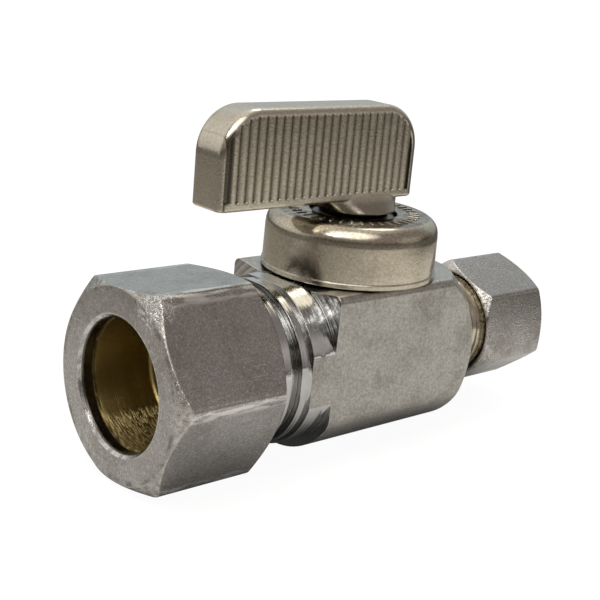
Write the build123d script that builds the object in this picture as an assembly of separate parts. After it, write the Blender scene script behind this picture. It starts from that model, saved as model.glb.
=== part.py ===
from build123d import *
import math
import os

# A straight quarter-turn mini ball valve with a compression joint for a tube at each end.
# Frame: origin at the centre of the body's inlet end face, +X along the flow to the outlet,
# +Z up along the stem. All sizes in millimetres.

# Tubes that the valve takes, and the room round them
INLET_TUBE_R = 7.94
OUTLET_TUBE_R = 4.76
TUBE_CLEARANCE = 0.12

# Clearances between the pieces
RUN_CLEARANCE = 0.05
THREAD_CLEARANCE = 0.06
SEAT_CLEARANCE = 0.03
HUB_CLEARANCE = 0.4

# Body: distances along the flow from the inlet end face
STEM_X = 27.0
INLET_THREAD_LENGTH = 10.1
RELIEF_WIDTH = 0.9
COLLAR_WIDTH = 1.0
GROOVE_WIDTH = 0.7
SHOULDER_X = 16.3
NOSE_CENTRE_X = 29.9
OUTLET_END_X = 54.0
OUTLET_THREAD_LENGTH = 8.2

# Body: radii and section
INLET_THREAD_R = 10.55
RELIEF_DEPTH = 0.9
NECK_R = 10.9
GROOVE_DEPTH = 0.5
FLARE_LENGTH = 2.6
FLARE_R = 5.0
FLAT_HALF_WIDTH = 10.4
BELLY_R = 12.05
PAD_TOP_Z = 10.45
PAD_EDGE_R = 1.0
BELLY_EDGE_R = 3.0
NOSE_R = 15.9
OUTLET_THREAD_R = 7.14
OUTLET_NECK_R = 7.25
OUTLET_RELIEF_DEPTH = 0.7
THREAD_LEAD = 0.7

# Stem boss on top of the body, under the cap
BOSS_R = 9.6
BOSS_TOP_Z = 12.9
TOWER_R = 5.3
TOWER_TOP_Z = 15.4

# Nuts
INLET_NUT_ACROSS_FLATS = 23.81
INLET_NUT_LENGTH = 15.7
INLET_NUT_OVERLAP = 7.2
INLET_NUT_CORNER_DEG = 3.9
INLET_NUT_LIP = 1.7
INLET_NUT_CORNER_R = 1.3
OUTLET_NUT_ACROSS_FLATS = 15.85
OUTLET_NUT_LENGTH = 12.3
OUTLET_NUT_OVERLAP = 5.9
OUTLET_NUT_CORNER_DEG = 37.45
OUTLET_NUT_LIP = 1.5
OUTLET_NUT_CORNER_R = 0.7
NUT_CHAMFER_DEG = 36.0
NUT_FACE_MARGIN = 0.1
NUT_MOUTH_CHAMFER = 0.5

# Ferrules
INLET_FERRULE_WALL = 1.3
OUTLET_FERRULE_WALL = 1.05
FERRULE_NOSE = 1.5
FERRULE_TIP = 0.35

# Ball and seats
BALL_R = 7.0
PORT_R = 4.0
SLOT_WIDTH = 2.7
SLOT_DEPTH = 2.0
SEAT_OUTER_X = 7.5
SEAT_WIDTH = 2.8
CHAMBER_R = 7.6
INLET_TUBE_STOP_X = 11.0
OUTLET_TUBE_STOP_X = 42.5

# Seat retainer
RETAINER_STEP = 0.4
RETAINER_PORT_R = 4.2
RETAINER_FUNNEL_R = 6.2
RETAINER_FUNNEL_DEPTH = 2.2
RETAINER_RING_R = 0.74
RING_GROOVE_SPARE = 0.45

# Stem
STEM_R = 3.25
STEM_FLANGE_R = 4.5
STEM_FLANGE_THICKNESS = 1.4
STEM_LIFT = 0.4
STEM_TONGUE_LENGTH = 7.0
STEM_TONGUE_CLEARANCE = 0.05
STEM_TOP_Z = 20.5
STEM_SQUARE = 4.4
STEM_RING_R = 0.5
STEM_RING_Z = (11.0, 13.6)
WASHER_THICKNESS = 0.6

# Turn stop: a lug on the boss in an arc slot under the handle's hub
STOP_LUG_DEG = 40.0
STOP_LUG_HEIGHT = 1.5
STOP_LUG_INNER_R = 3.9
QUARTER_TURN_DEG = 90.0
STOP_SPARE_DEG = 1.0

# Cap
CAP_R = 11.5
CAP_TAPER = 0.2
CAP_BOTTOM_Z = 10.65
CAP_TOP_Z = 18.3
CAP_TOP_WALL = 1.5
CAP_EDGE_R = 1.1
CAP_LEAN = 0.3
CAP_LEAN_Z = 15.9
CAP_LEAN_R = 3.0
CAP_LIP_HEIGHT = 0.6
CAP_LIP_DEPTH = 0.12

# Handle
HUB_R = 5.4
HUB_FOOT_Z = 18.8
HUB_UNDERCUT_R = 4.5
HUB_UNDERCUT_Z = 17.9
HUB_TOP_Z = 21.0
HUB_TOP_HALF_LENGTH = 7.2
HUB_TOP_HALF_WIDTH = 3.05
LEVER_BACK_X = -24.55
LEVER_FRONT_X = 7.8
LEVER_THICKNESS = 6.0
LEVER_BOTTOM_Z = 20.25
LEVER_TOP_Z = 32.3
LEVER_TOP_CORNER = 5.7
LEVER_EDGE_R = 1.2
LEVER_FOOT_EDGE_R = 0.35
RIB_COUNT = 23
RIB_R = 0.7
RIB_STEP = 0.02
RIB_FIRST = 0.91
RIB_GROOVE_DEPTH = 0.45
PANEL_BACK = 0.61
PANEL_BACK_GROOVE = 1.05
PANEL_FRONT = 1.19
PANEL_BOTTOM = 1.0
PANEL_TOP = 0.86

inlet_bore_r = INLET_TUBE_R + TUBE_CLEARANCE
outlet_bore_r = OUTLET_TUBE_R + TUBE_CLEARANCE
stem_bore_r = STEM_R + RUN_CLEARANCE
ball_seat_r = BALL_R + SEAT_CLEARANCE
flange_bottom_z = BALL_R + STEM_LIFT
washer_bottom_z = flange_bottom_z + STEM_FLANGE_THICKNESS
pocket_top_z = washer_bottom_z + WASHER_THICKNESS
hub_bottom_z = TOWER_TOP_Z + 2 * RUN_CLEARANCE
slot_floor_z = BALL_R - SLOT_DEPTH
inlet_nut_x = INLET_NUT_OVERLAP - INLET_NUT_LENGTH
outlet_nut_x = OUTLET_END_X - OUTLET_NUT_OVERLAP
retainer_start_x = INLET_TUBE_STOP_X + RETAINER_STEP
retainer_end_x = STEM_X - SEAT_OUTER_X
stem_axis = Axis((STEM_X, 0, 0), (0, 0, 1))


def turned_on_flow(points):
    """A solid turned on the flow axis, from a closed outline of (x, radius) points."""
    return revolve(make_face(Polyline(*points, close=True)), Axis.X)


def turned_on_stem(points):
    """A solid turned on the stem axis, from a closed outline of (radius, z) points."""
    outline = [(STEM_X + radius, z) for radius, z in points]
    return revolve(Plane.XZ * make_face(Polyline(*outline, close=True)), stem_axis)


def rod_on_flow(x0, x1, r):
    return turned_on_flow([(x0, 0), (x1, 0), (x1, r), (x0, r)])


def rod_on_stem(z0, z1, r):
    return turned_on_stem([(0, z0), (r, z0), (r, z1), (0, z1)])


def tube_on_stem(z0, z1, outer_r, inner_r):
    return turned_on_stem([(inner_r, z0), (outer_r, z0), (outer_r, z1), (inner_r, z1)])


def body_section():
    """The forging across the flow: a round belly below, a pad with flat sides and top above."""
    pad = Rectangle(2 * FLAT_HALF_WIDTH, PAD_TOP_Z, align=(Align.CENTER, Align.MIN))
    below = Rectangle(2 * FLAT_HALF_WIDTH, BELLY_R, align=(Align.CENTER, Align.MAX))
    section = pad + (Circle(BELLY_R) & below)
    section = fillet(section.vertices().group_by(Axis.Y)[-1], PAD_EDGE_R)
    section = fillet(section.vertices().group_by(Axis.Y)[0], BELLY_EDGE_R)
    return Plane.YZ * section


def flare_outline(start_x):
    """The concave turned sweep from the neck up to the shoulder."""
    def sweep_r(x):
        return NECK_R + FLARE_R - math.sqrt(FLARE_R**2 - (x - start_x) ** 2)
    middle_x = (start_x + SHOULDER_X) / 2
    top = (SHOULDER_X, sweep_r(SHOULDER_X))
    line = Polyline((start_x, NECK_R), (start_x, 0), (SHOULDER_X, 0), top)
    return line + ThreePointArc(top, (middle_x, sweep_r(middle_x)), (start_x, NECK_R))


def body_outside():
    neck_start = INLET_THREAD_LENGTH + RELIEF_WIDTH + COLLAR_WIDTH + GROOVE_WIDTH
    collar_start = INLET_THREAD_LENGTH + RELIEF_WIDTH
    collar_end = collar_start + COLLAR_WIDTH
    thread = turned_on_flow([
        (0, 0),
        (0, INLET_THREAD_R - THREAD_LEAD),
        (THREAD_LEAD, INLET_THREAD_R),
        (INLET_THREAD_LENGTH, INLET_THREAD_R),
        (INLET_THREAD_LENGTH, INLET_THREAD_R - RELIEF_DEPTH),
        (collar_start, INLET_THREAD_R - RELIEF_DEPTH),
        (collar_start, 0),
    ])
    neck = turned_on_flow([
        (collar_start, 0),
        (collar_start, INLET_THREAD_R),
        (collar_end, INLET_THREAD_R),
        (collar_end, NECK_R - GROOVE_DEPTH),
        (neck_start, NECK_R - GROOVE_DEPTH),
        (neck_start, NECK_R),
        (STEM_X, NECK_R),
        (STEM_X, 0),
    ])
    nose_end = NOSE_CENTRE_X + math.sqrt(NOSE_R**2 - OUTLET_NECK_R**2)
    nose_turn = math.asin((nose_end - NOSE_CENTRE_X) / NOSE_R) / 2
    nose_mid = (NOSE_CENTRE_X + NOSE_R * math.sin(nose_turn), NOSE_R * math.cos(nose_turn))
    nose_top = (NOSE_CENTRE_X, NOSE_R)
    nose_tip = (nose_end, OUTLET_NECK_R)
    nose_line = Polyline(nose_tip, (nose_end, 0), (SHOULDER_X, 0), (SHOULDER_X, NOSE_R), nose_top)
    nose_arc = ThreePointArc(nose_top, nose_mid, nose_tip)
    nose = revolve(make_face(nose_line + nose_arc), Axis.X)
    forging = Pos(SHOULDER_X, 0, 0) * extrude(body_section(), nose_end - SHOULDER_X) & nose
    flare_start = SHOULDER_X - FLARE_LENGTH
    flare = revolve(make_face(flare_outline(flare_start)), Axis.X)
    flare = flare & Pos(flare_start, 0, 0) * extrude(body_section(), FLARE_LENGTH)
    flats = Pos(STEM_X, 0, PAD_TOP_Z) * Box(
        2 * STEM_X, 2 * FLAT_HALF_WIDTH, 2 * NOSE_R, align=(Align.CENTER, Align.CENTER, Align.MAX)
    )
    thread_start = OUTLET_END_X - OUTLET_THREAD_LENGTH
    outlet = turned_on_flow([
        (STEM_X, 0),
        (STEM_X, OUTLET_NECK_R),
        (nose_end + OUTLET_RELIEF_DEPTH, OUTLET_NECK_R),
        (nose_end + OUTLET_RELIEF_DEPTH, OUTLET_THREAD_R - OUTLET_RELIEF_DEPTH),
        (thread_start, OUTLET_THREAD_R - OUTLET_RELIEF_DEPTH),
        (thread_start, OUTLET_THREAD_R),
        (OUTLET_END_X - THREAD_LEAD, OUTLET_THREAD_R),
        (OUTLET_END_X, OUTLET_THREAD_R - THREAD_LEAD),
        (OUTLET_END_X, 0),
    ])
    boss = rod_on_stem(0, BOSS_TOP_Z, BOSS_R) + rod_on_stem(0, TOWER_TOP_Z, TOWER_R)
    return thread + (neck & flats) + forging + flare + outlet + boss + stop_lug()


def arc_slab(z0, z1, inner_r, outer_r, middle_deg, width_deg):
    """A ring segment round the stem; its middle lies at an angle from +X towards +Y."""
    ring = tube_on_stem(z0, z1, outer_r, inner_r)
    half = math.radians(width_deg / 2)
    reach = 2 * outer_r
    wedge = make_face(Polyline(
        (0, 0),
        (reach * math.cos(half), -reach * math.sin(half)),
        (reach * math.cos(half), reach * math.sin(half)),
        close=True,
    ))
    cutter = Pos(STEM_X, 0, z0) * Rot(0, 0, middle_deg) * extrude(wedge, z1 - z0)
    return ring & cutter


def stop_lug():
    """It stands on the side that both ends of the arc slot can reach, a quarter turn apart."""
    top_z = TOWER_TOP_Z + STOP_LUG_HEIGHT
    return arc_slab(TOWER_TOP_Z, top_z, STOP_LUG_INNER_R, TOWER_R, 0, STOP_LUG_DEG)


def body():
    seat_end = STEM_X + SEAT_OUTER_X
    inlet_flare = INLET_FERRULE_WALL + SEAT_CLEARANCE
    inlet_flare_depth = inlet_flare / ferrule_slope(INLET_FERRULE_WALL)
    outlet_flare = OUTLET_FERRULE_WALL + SEAT_CLEARANCE
    outlet_flare_depth = outlet_flare / ferrule_slope(OUTLET_FERRULE_WALL)
    waterway = turned_on_flow([
        (0, 0),
        (0, inlet_bore_r + inlet_flare),
        (inlet_flare_depth, inlet_bore_r),
        (INLET_TUBE_STOP_X, inlet_bore_r),
        (INLET_TUBE_STOP_X, CHAMBER_R),
        (seat_end, CHAMBER_R),
        (seat_end, PORT_R),
        (OUTLET_TUBE_STOP_X, PORT_R),
        (OUTLET_TUBE_STOP_X, outlet_bore_r),
        (OUTLET_END_X - outlet_flare_depth, outlet_bore_r),
        (OUTLET_END_X, outlet_bore_r + outlet_flare),
        (OUTLET_END_X, 0),
    ])
    pocket = rod_on_stem(0, pocket_top_z, STEM_FLANGE_R + RUN_CLEARANCE)
    stem_bore = rod_on_stem(0, TOWER_TOP_Z, stem_bore_r)
    return body_outside() - waterway - pocket - stem_bore


def ferrule_slope(wall):
    """Rise of a ferrule's end cone for each millimetre along it."""
    return (wall - FERRULE_TIP) / FERRULE_NOSE


def ferrule(bore_r, wall, nut_face_x, tip_x):
    """A sleeve with a cone at each end, from the nut's inner cone to the body's mouth."""
    step = math.copysign(FERRULE_NOSE, tip_x - nut_face_x)
    return turned_on_flow([
        (nut_face_x, bore_r),
        (nut_face_x, bore_r + FERRULE_TIP),
        (nut_face_x + step, bore_r + wall),
        (tip_x - step, bore_r + wall),
        (tip_x, bore_r + FERRULE_TIP),
        (tip_x, bore_r),
    ])


def nut_blank(across_flats, start_x, length, corner_deg, corner_edge_r):
    """A hexagon bar, slightly rounded along its corners, which are turned off at both ends."""
    section = RegularPolygon(across_flats / math.sqrt(3), 6, rotation=-corner_deg)
    section = fillet(section.vertices(), corner_edge_r)
    bar = extrude(Plane((start_x, 0, 0), x_dir=(0, -1, 0), z_dir=(1, 0, 0)) * section, length)
    face_r = across_flats / 2 - NUT_FACE_MARGIN
    corner_r = across_flats / math.sqrt(3)
    run = (corner_r - face_r) * math.tan(math.radians(NUT_CHAMFER_DEG))
    turned = turned_on_flow([
        (start_x, 0),
        (start_x, face_r),
        (start_x + run, corner_r),
        (start_x + length - run, corner_r),
        (start_x + length, face_r),
        (start_x + length, 0),
    ])
    return bar & turned


def nut_hollow(bore_r, wall, thread_r, mouth_x, lip, thread_x, end_x):
    """From the mouth inwards: lip bore, cone on the ferrule's back, ferrule chamber, thread."""
    side = math.copysign(1, end_x - mouth_x)
    lip_end = mouth_x + side * lip
    chamber_r = bore_r + wall + RUN_CLEARANCE
    cone_end = lip_end + side * (chamber_r - bore_r) / ferrule_slope(wall)
    nut_thread_r = thread_r + THREAD_CLEARANCE
    return turned_on_flow([
        (mouth_x, 0),
        (mouth_x, bore_r + NUT_MOUTH_CHAMFER),
        (mouth_x + side * NUT_MOUTH_CHAMFER, bore_r),
        (lip_end, bore_r),
        (cone_end, chamber_r),
        (thread_x, chamber_r),
        (thread_x, nut_thread_r),
        (end_x - side * NUT_MOUTH_CHAMFER, nut_thread_r),
        (end_x, nut_thread_r + NUT_MOUTH_CHAMFER),
        (end_x, 0),
    ])


def ferrule_back_x(mouth_x, lip, side, wall):
    """Where the ferrule's back end meets the cone behind the nut's lip."""
    return mouth_x + side * (lip + FERRULE_TIP / ferrule_slope(wall) + SEAT_CLEARANCE)


def inlet_nut():
    blank = nut_blank(
        INLET_NUT_ACROSS_FLATS, inlet_nut_x, INLET_NUT_LENGTH, INLET_NUT_CORNER_DEG, INLET_NUT_CORNER_R
    )
    return blank - nut_hollow(
        inlet_bore_r, INLET_FERRULE_WALL, INLET_THREAD_R, inlet_nut_x, INLET_NUT_LIP,
        -THREAD_LEAD, INLET_NUT_OVERLAP,
    )


def inlet_ferrule():
    back_x = ferrule_back_x(inlet_nut_x, INLET_NUT_LIP, 1, INLET_FERRULE_WALL)
    return ferrule(inlet_bore_r, INLET_FERRULE_WALL, back_x, FERRULE_NOSE)


def outlet_nut():
    blank = nut_blank(
        OUTLET_NUT_ACROSS_FLATS, outlet_nut_x, OUTLET_NUT_LENGTH, OUTLET_NUT_CORNER_DEG, OUTLET_NUT_CORNER_R
    )
    return blank - nut_hollow(
        outlet_bore_r, OUTLET_FERRULE_WALL, OUTLET_THREAD_R, outlet_nut_x + OUTLET_NUT_LENGTH,
        OUTLET_NUT_LIP, OUTLET_END_X + THREAD_LEAD, outlet_nut_x,
    )


def outlet_ferrule():
    mouth_x = outlet_nut_x + OUTLET_NUT_LENGTH
    back_x = ferrule_back_x(mouth_x, OUTLET_NUT_LIP, -1, OUTLET_FERRULE_WALL)
    return ferrule(outlet_bore_r, OUTLET_FERRULE_WALL, back_x, OUTLET_END_X - FERRULE_NOSE)


def ball():
    port = rod_on_flow(STEM_X - 2 * BALL_R, STEM_X + 2 * BALL_R, PORT_R)
    slot = Pos(STEM_X, 0, slot_floor_z) * Box(
        SLOT_WIDTH, 2 * BALL_R, BALL_R, align=(Align.CENTER, Align.CENTER, Align.MIN)
    )
    return Pos(STEM_X, 0, 0) * Sphere(BALL_R) - port - slot


def seat(side):
    """A PTFE ring whose inner edge is turned to the ball; side is -1 at the inlet, 1 at the outlet."""
    front = SEAT_OUTER_X - SEAT_WIDTH
    outer_r = CHAMBER_R - SEAT_CLEARANCE
    face_in = math.sqrt(ball_seat_r**2 - PORT_R**2)
    face_out_r = math.sqrt(ball_seat_r**2 - front**2)
    middle = math.atan2(PORT_R + face_out_r, face_in + front)
    points = [
        (front, face_out_r),
        (front, outer_r),
        (SEAT_OUTER_X, outer_r),
        (SEAT_OUTER_X, PORT_R),
        (face_in, PORT_R),
    ]
    points = [(STEM_X + side * x, r) for x, r in points]
    middle_x = STEM_X + side * ball_seat_r * math.cos(middle)
    middle_point = (middle_x, ball_seat_r * math.sin(middle))
    outline = Polyline(*points) + ThreePointArc(points[-1], middle_point, points[0])
    return revolve(make_face(outline), Axis.X)


def seat_retainer():
    outer_r = CHAMBER_R - SEAT_CLEARANCE
    middle = (retainer_start_x + retainer_end_x) / 2
    half = RETAINER_RING_R + RING_GROOVE_SPARE
    floor_r = CHAMBER_R - 2 * RETAINER_RING_R - SEAT_CLEARANCE
    return turned_on_flow([
        (retainer_start_x, RETAINER_FUNNEL_R),
        (retainer_start_x + RETAINER_FUNNEL_DEPTH, RETAINER_PORT_R),
        (retainer_end_x, RETAINER_PORT_R),
        (retainer_end_x, outer_r),
        (middle + half, outer_r),
        (middle + half, floor_r),
        (middle - half, floor_r),
        (middle - half, outer_r),
        (retainer_start_x, outer_r),
    ])


def retainer_o_ring():
    middle = (retainer_start_x + retainer_end_x) / 2
    centre_r = CHAMBER_R - RETAINER_RING_R - SEAT_CLEARANCE / 2
    return revolve(Pos(middle, centre_r) * Circle(RETAINER_RING_R), Axis.X)


def stem():
    turned = rod_on_stem(flange_bottom_z, washer_bottom_z, STEM_FLANGE_R)
    turned += rod_on_stem(flange_bottom_z, TOWER_TOP_Z, STEM_R)
    half = STEM_RING_R + RING_GROOVE_SPARE / 2
    floor_r = stem_bore_r - 2 * STEM_RING_R - SEAT_CLEARANCE
    for z in STEM_RING_Z:
        turned -= tube_on_stem(z - half, z + half, 2 * STEM_R, floor_r)
    square = Pos(STEM_X, 0, TOWER_TOP_Z) * Box(
        STEM_SQUARE, STEM_SQUARE, STEM_TOP_Z - TOWER_TOP_Z,
        align=(Align.CENTER, Align.CENTER, Align.MIN),
    )
    tongue_bottom_z = slot_floor_z + 2 * STEM_TONGUE_CLEARANCE
    tongue = Pos(STEM_X, 0, tongue_bottom_z) * Box(
        SLOT_WIDTH - 2 * STEM_TONGUE_CLEARANCE, STEM_TONGUE_LENGTH, flange_bottom_z - tongue_bottom_z,
        align=(Align.CENTER, Align.CENTER, Align.MIN),
    )
    square = square & rod_on_stem(TOWER_TOP_Z, STEM_TOP_Z, STEM_R - RUN_CLEARANCE)
    return turned + square + tongue


def stem_o_ring(z):
    centre_r = stem_bore_r - STEM_RING_R - SEAT_CLEARANCE / 2
    return revolve(Plane.XZ * Pos(STEM_X + centre_r, z) * Circle(STEM_RING_R), stem_axis)


def stem_thrust_washer():
    return tube_on_stem(washer_bottom_z, pocket_top_z, STEM_FLANGE_R, stem_bore_r)


def cap():
    """A drawn cup, open below, pressed over the boss; its top has a round hole for the hub."""
    wide = CAP_R - CAP_LIP_DEPTH
    narrow = CAP_R - CAP_TAPER
    bend = (STEM_X + narrow, CAP_LEAN_Z)
    rim = (STEM_X + narrow - CAP_LEAN, CAP_TOP_Z)
    side = make_face(Polyline(
        (STEM_X, CAP_BOTTOM_Z),
        (STEM_X + CAP_R, CAP_BOTTOM_Z),
        (STEM_X + CAP_R, CAP_BOTTOM_Z + CAP_LIP_HEIGHT),
        (STEM_X + wide, CAP_BOTTOM_Z + CAP_LIP_HEIGHT),
        bend,
        rim,
        (STEM_X, CAP_TOP_Z),
        close=True,
    ))
    side = fillet(side.vertices().sort_by_distance(bend)[0], CAP_LEAN_R)
    side = fillet(side.vertices().sort_by_distance(rim)[0], CAP_EDGE_R)
    outside = revolve(Plane.XZ * side, stem_axis)
    inside = rod_on_stem(0, CAP_TOP_Z - CAP_TOP_WALL, BOSS_R + SEAT_CLEARANCE)
    return outside - inside - rod_on_stem(0, 2 * CAP_TOP_Z, HUB_R + HUB_CLEARANCE)


def lever_outline(back, front, bottom, top):
    """The lever seen from its side, drawn in by a margin at each edge."""
    x0 = STEM_X + LEVER_BACK_X + back
    x1 = STEM_X + LEVER_FRONT_X - front
    z0 = LEVER_BOTTOM_Z + bottom
    z1 = LEVER_TOP_Z - top
    face = Pos((x0 + x1) / 2, (z0 + z1) / 2) * Rectangle(x1 - x0, z1 - z0)
    return fillet(face.vertices().group_by(Axis.Y)[-1], LEVER_TOP_CORNER - top)


def lever():
    """A flat plate with a rounded rim and a sharper foot."""
    plate = extrude(Plane.XZ * lever_outline(0, 0, 0, 0), LEVER_THICKNESS / 2, both=True)
    sides = plate.faces().group_by(Axis.Y)
    foot_z = LEVER_BOTTOM_Z + LEVER_EDGE_R
    rims = [edge for side in (sides[0], sides[-1]) for edge in side[0].edges()]
    plate = fillet([edge for edge in rims if edge.center().Z > foot_z], LEVER_EDGE_R)
    return fillet(plate.faces().sort_by(Axis.Z)[0].edges(), LEVER_FOOT_EDGE_R)


def rib_grooves():
    """A shallow panel on both faces with round upright ribs left standing; its back end stays bare."""
    width = LEVER_FRONT_X - LEVER_BACK_X - PANEL_BACK - PANEL_FRONT
    pitch = (width - PANEL_BACK_GROOVE) / RIB_COUNT
    first_x = STEM_X + LEVER_FRONT_X - PANEL_FRONT - RIB_FIRST
    face_y = LEVER_THICKNESS / 2
    panel = lever_outline(PANEL_BACK, PANEL_FRONT, PANEL_BOTTOM, PANEL_TOP)
    front = extrude(Plane.XZ.offset(face_y) * panel, -RIB_GROOVE_DEPTH)
    rib = Cylinder(RIB_R, LEVER_TOP_Z - LEVER_BOTTOM_Z)
    rib_y = RIB_R - RIB_STEP - face_y
    rib_z = (LEVER_BOTTOM_Z + LEVER_TOP_Z) / 2
    for k in range(RIB_COUNT):
        front -= Pos(first_x - k * pitch, rib_y, rib_z) * rib
    return front + mirror(front, Plane.XZ)


def hub():
    """A round post, undercut where it enters the cap, that flattens upwards into the lever's foot."""
    post = turned_on_stem([
        (0, hub_bottom_z),
        (HUB_R, hub_bottom_z),
        (HUB_R, HUB_UNDERCUT_Z),
        (HUB_UNDERCUT_R, HUB_UNDERCUT_Z),
        (HUB_UNDERCUT_R, HUB_FOOT_Z),
        (0, HUB_FOOT_Z),
    ])
    foot = Pos(STEM_X, 0, HUB_FOOT_Z) * Circle(HUB_R)
    top = Pos(STEM_X, 0, HUB_TOP_Z) * Ellipse(HUB_TOP_HALF_LENGTH, HUB_TOP_HALF_WIDTH)
    return post + loft([foot, top])


def handle():
    """The lever on its hub, with a square socket for the stem and an arc slot for the stop lug."""
    socket_side = STEM_SQUARE + 2 * SEAT_CLEARANCE
    socket_depth = STEM_TOP_Z - hub_bottom_z + RUN_CLEARANCE
    socket = Pos(STEM_X, 0, hub_bottom_z) * Box(
        socket_side, socket_side, socket_depth, align=(Align.CENTER, Align.CENTER, Align.MIN)
    )
    slot_deg = STOP_LUG_DEG + QUARTER_TURN_DEG + 2 * STOP_SPARE_DEG
    slot_top_z = TOWER_TOP_Z + STOP_LUG_HEIGHT + HUB_CLEARANCE
    slot_inner_r = STOP_LUG_INNER_R - HUB_CLEARANCE
    slot = arc_slab(hub_bottom_z, slot_top_z, slot_inner_r, 2 * HUB_R, QUARTER_TURN_DEG / 2, slot_deg)
    return hub() + lever() - rib_grooves() - socket - slot


NODES = {
    "body": body,
    "inlet_nut": inlet_nut,
    "inlet_ferrule": inlet_ferrule,
    "outlet_nut": outlet_nut,
    "outlet_ferrule": outlet_ferrule,
    "ball": ball,
    "inlet_seat": lambda: seat(-1),
    "outlet_seat": lambda: seat(1),
    "seat_retainer": seat_retainer,
    "retainer_o_ring": retainer_o_ring,
    "stem": stem,
    "stem_lower_o_ring": lambda: stem_o_ring(STEM_RING_Z[0]),
    "stem_upper_o_ring": lambda: stem_o_ring(STEM_RING_Z[1]),
    "stem_thrust_washer": stem_thrust_washer,
    "cap": cap,
    "handle": handle,
}

os.makedirs("parts", exist_ok=True)
for name, make in NODES.items():
    export_step(make(), f"parts/{name}.step")
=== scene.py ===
import math
import bmesh
import bpy
from mathutils import Matrix, Vector


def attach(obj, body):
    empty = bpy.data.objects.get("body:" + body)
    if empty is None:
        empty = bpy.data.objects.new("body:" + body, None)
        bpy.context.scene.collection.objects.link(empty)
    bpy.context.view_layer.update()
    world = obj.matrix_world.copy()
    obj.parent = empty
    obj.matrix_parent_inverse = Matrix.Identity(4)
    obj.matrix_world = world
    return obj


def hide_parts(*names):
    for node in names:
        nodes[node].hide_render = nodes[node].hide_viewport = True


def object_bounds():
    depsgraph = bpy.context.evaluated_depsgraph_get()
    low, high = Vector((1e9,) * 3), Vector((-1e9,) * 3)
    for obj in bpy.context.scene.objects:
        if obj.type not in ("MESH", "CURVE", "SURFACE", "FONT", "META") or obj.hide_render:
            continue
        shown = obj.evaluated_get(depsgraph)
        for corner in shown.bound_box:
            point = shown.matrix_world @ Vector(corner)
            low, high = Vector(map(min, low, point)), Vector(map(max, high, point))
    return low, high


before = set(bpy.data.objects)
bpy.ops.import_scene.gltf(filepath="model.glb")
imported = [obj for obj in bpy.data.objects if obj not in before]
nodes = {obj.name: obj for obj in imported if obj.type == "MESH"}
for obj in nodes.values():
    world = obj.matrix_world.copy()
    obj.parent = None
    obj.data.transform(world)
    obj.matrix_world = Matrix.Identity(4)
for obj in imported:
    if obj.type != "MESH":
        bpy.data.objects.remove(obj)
cad_low, cad_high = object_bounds()


# The body is one brass forging: flat wrench pads, a round belly below and a turned neck.
# It is chrome plated all over, left satin on the forged skin and bright where the lathe cut,
# and its waterway is bored through afterwards, so the bare brass shows inside.
mm = 0.001
inlet_thread_r = 10.55 * mm
inlet_thread_end = 10.1 * mm
inlet_root_r = 9.72 * mm
outlet_thread_r = 7.14 * mm
outlet_thread_start = 45.8 * mm
outlet_root_r = 6.52 * mm
outlet_neck_r = 7.3 * mm
outlet_neck_length = 2.6 * mm
neck_start = 12.7 * mm
neck_end = 16.31 * mm
neck_r = 10.9 * mm
flare_length = 2.7 * mm
flare_r = 11.7 * mm
flat_y = 10.4 * mm
waterway_r = 8.3 * mm
waterway_end = 36 * mm
inlet_mouth_r = 9.5 * mm
inlet_mouth_depth = 5 * mm
outlet_bore_start = 34 * mm
match_gap = 0.02 * mm
wear_polish = 0.45
chrome_colour = (0.46, 0.455, 0.44, 1)
forged_colour = (0.5, 0.49, 0.46, 1)
bright_chrome_colour = (0.66, 0.67, 0.675, 1)
chrome_stain_colour = (0.25, 0.235, 0.21, 1)
chrome_worn_colour = (0.72, 0.71, 0.69, 1)
step_shade_colour = (0.06, 0.06, 0.06, 1)
brass_colour = (0.56, 0.46, 0.2, 1)
brass_dark_colour = (0.28, 0.2, 0.08, 1)
brass_worn_colour = (0.75, 0.6, 0.28, 1)
thread_colour = (0.72, 0.66, 0.53, 1)
thread_stain_colour = (0.28, 0.24, 0.17, 1)
thread_worn_colour = (0.75, 0.7, 0.6, 1)


def put(tree, kind, inputs=None, **settings):
    """Adds a node; each input is given a value or the socket that feeds it."""
    made = tree.nodes.new(kind)
    for name, value in settings.items():
        setattr(made, name, value)
    for socket, value in (inputs or {}).items():
        if isinstance(value, bpy.types.NodeSocket):
            tree.links.new(value, made.inputs[socket])
        else:
            made.inputs[socket].default_value = value
    return made


def calc(tree, operation, a, b=0.0, clamp=False):
    return put(tree, "ShaderNodeMath", {0: a, 1: b}, operation=operation, use_clamp=clamp).outputs[0]


def product(tree, first, *others):
    for other in others:
        first = calc(tree, "MULTIPLY", first, other)
    return first


def ramp(tree, value, low, high):
    """0 below low, 1 above high, smooth between; the two may be swapped."""
    inputs = {"Value": value, "From Min": low, "From Max": high}
    return put(tree, "ShaderNodeMapRange", inputs, interpolation_type="SMOOTHSTEP").outputs["Result"]


def blend_colour(tree, share, a, b):
    return put(tree, "ShaderNodeMix", {0: share, 6: a, 7: b}, data_type="RGBA").outputs[2]


def vector_value(tree, operation, a, b=(0, 0, 0)):
    """The number that a vector operation gives, such as a length or a dot product."""
    return put(tree, "ShaderNodeVectorMath", {0: a, 1: b}, operation=operation).outputs["Value"]


def object_point(tree):
    return put(tree, "ShaderNodeTexCoord").outputs["Object"]


def object_axes(tree):
    return put(tree, "ShaderNodeSeparateXYZ", {"Vector": object_point(tree)}).outputs


def object_place(tree, scale=(1, 1, 1), turn=(0, 0, 0)):
    inputs = {"Vector": object_point(tree), "Scale": scale, "Rotation": turn}
    return put(tree, "ShaderNodeMapping", inputs).outputs["Vector"]


def flow_radius(tree, axes):
    """Distance from the flow axis."""
    across = put(tree, "ShaderNodeCombineXYZ", {"Y": axes["Y"], "Z": axes["Z"]}).outputs["Vector"]
    return vector_value(tree, "LENGTH", across)


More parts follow.
